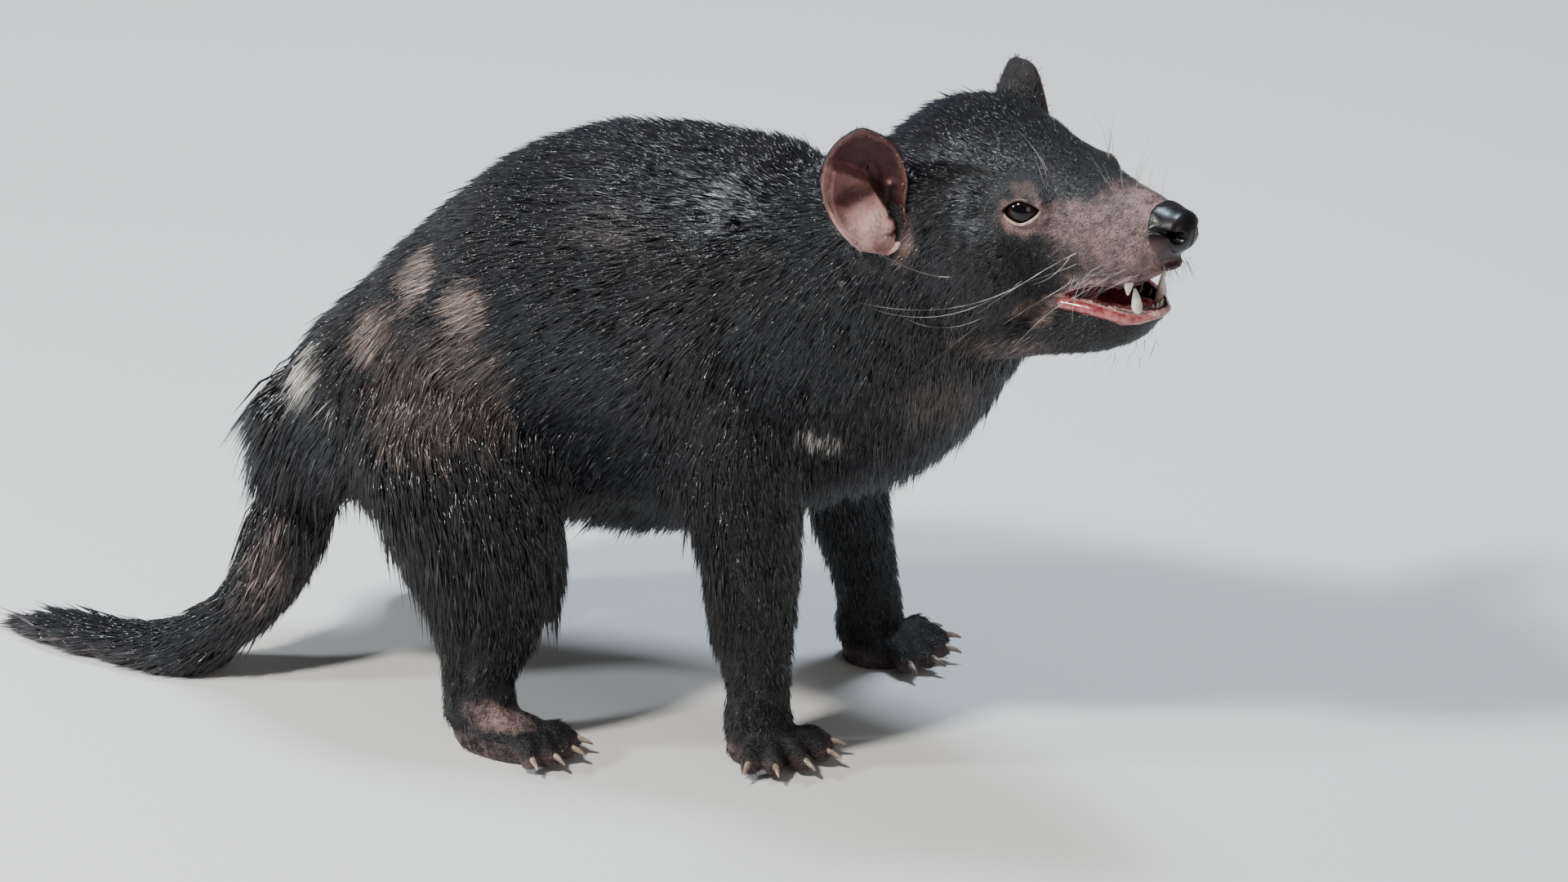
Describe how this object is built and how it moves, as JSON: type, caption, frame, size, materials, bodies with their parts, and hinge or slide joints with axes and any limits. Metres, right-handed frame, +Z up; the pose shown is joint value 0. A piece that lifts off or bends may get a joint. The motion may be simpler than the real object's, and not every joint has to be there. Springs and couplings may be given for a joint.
{
  "type": "tasmanian devil model",
  "caption": "Life-size still model of a stocky black marsupial carnivore, standing with its head turned, jaws part open and tail laid on the floor.",
  "frame": {"origin": "on the floor, at the middle of the model's plan outline", "axes": "+X the way the chest faces, +Y the animal's left, +Z up"},
  "size_m": [0.582, 0.2268, 0.3246],
  "materials": {
    "coat": "glossy black fur",
    "bare_skin": "bare pinkish-brown skin",
    "nose_pad": "moist black nose leather",
    "eye_glass": "dark glossy eye",
    "wet_mouth": "wet pink mouth lining and tongue",
    "teeth_and_claws": "ivory teeth and pale horn claws"
  },
  "bodies": {
    "root": {"head": "coat", "lower_jaw": "coat", "neck": "coat", "torso": "coat", "tail": "coat", "foreleg_right": "coat", "foreleg_left": "coat", "hindleg_right": "coat", "hindleg_left": "coat", "forepaw_right": "coat", "forepaw_left": "coat", "hindpaw_right": "coat", "hindpaw_left": "coat", "ear_right": "bare_skin", "ear_left": "bare_skin", "nose": "nose_pad", "tongue": "wet_mouth", "eye_right": "eye_glass", "eye_left": "eye_glass"}
  },
  "joints": []
}
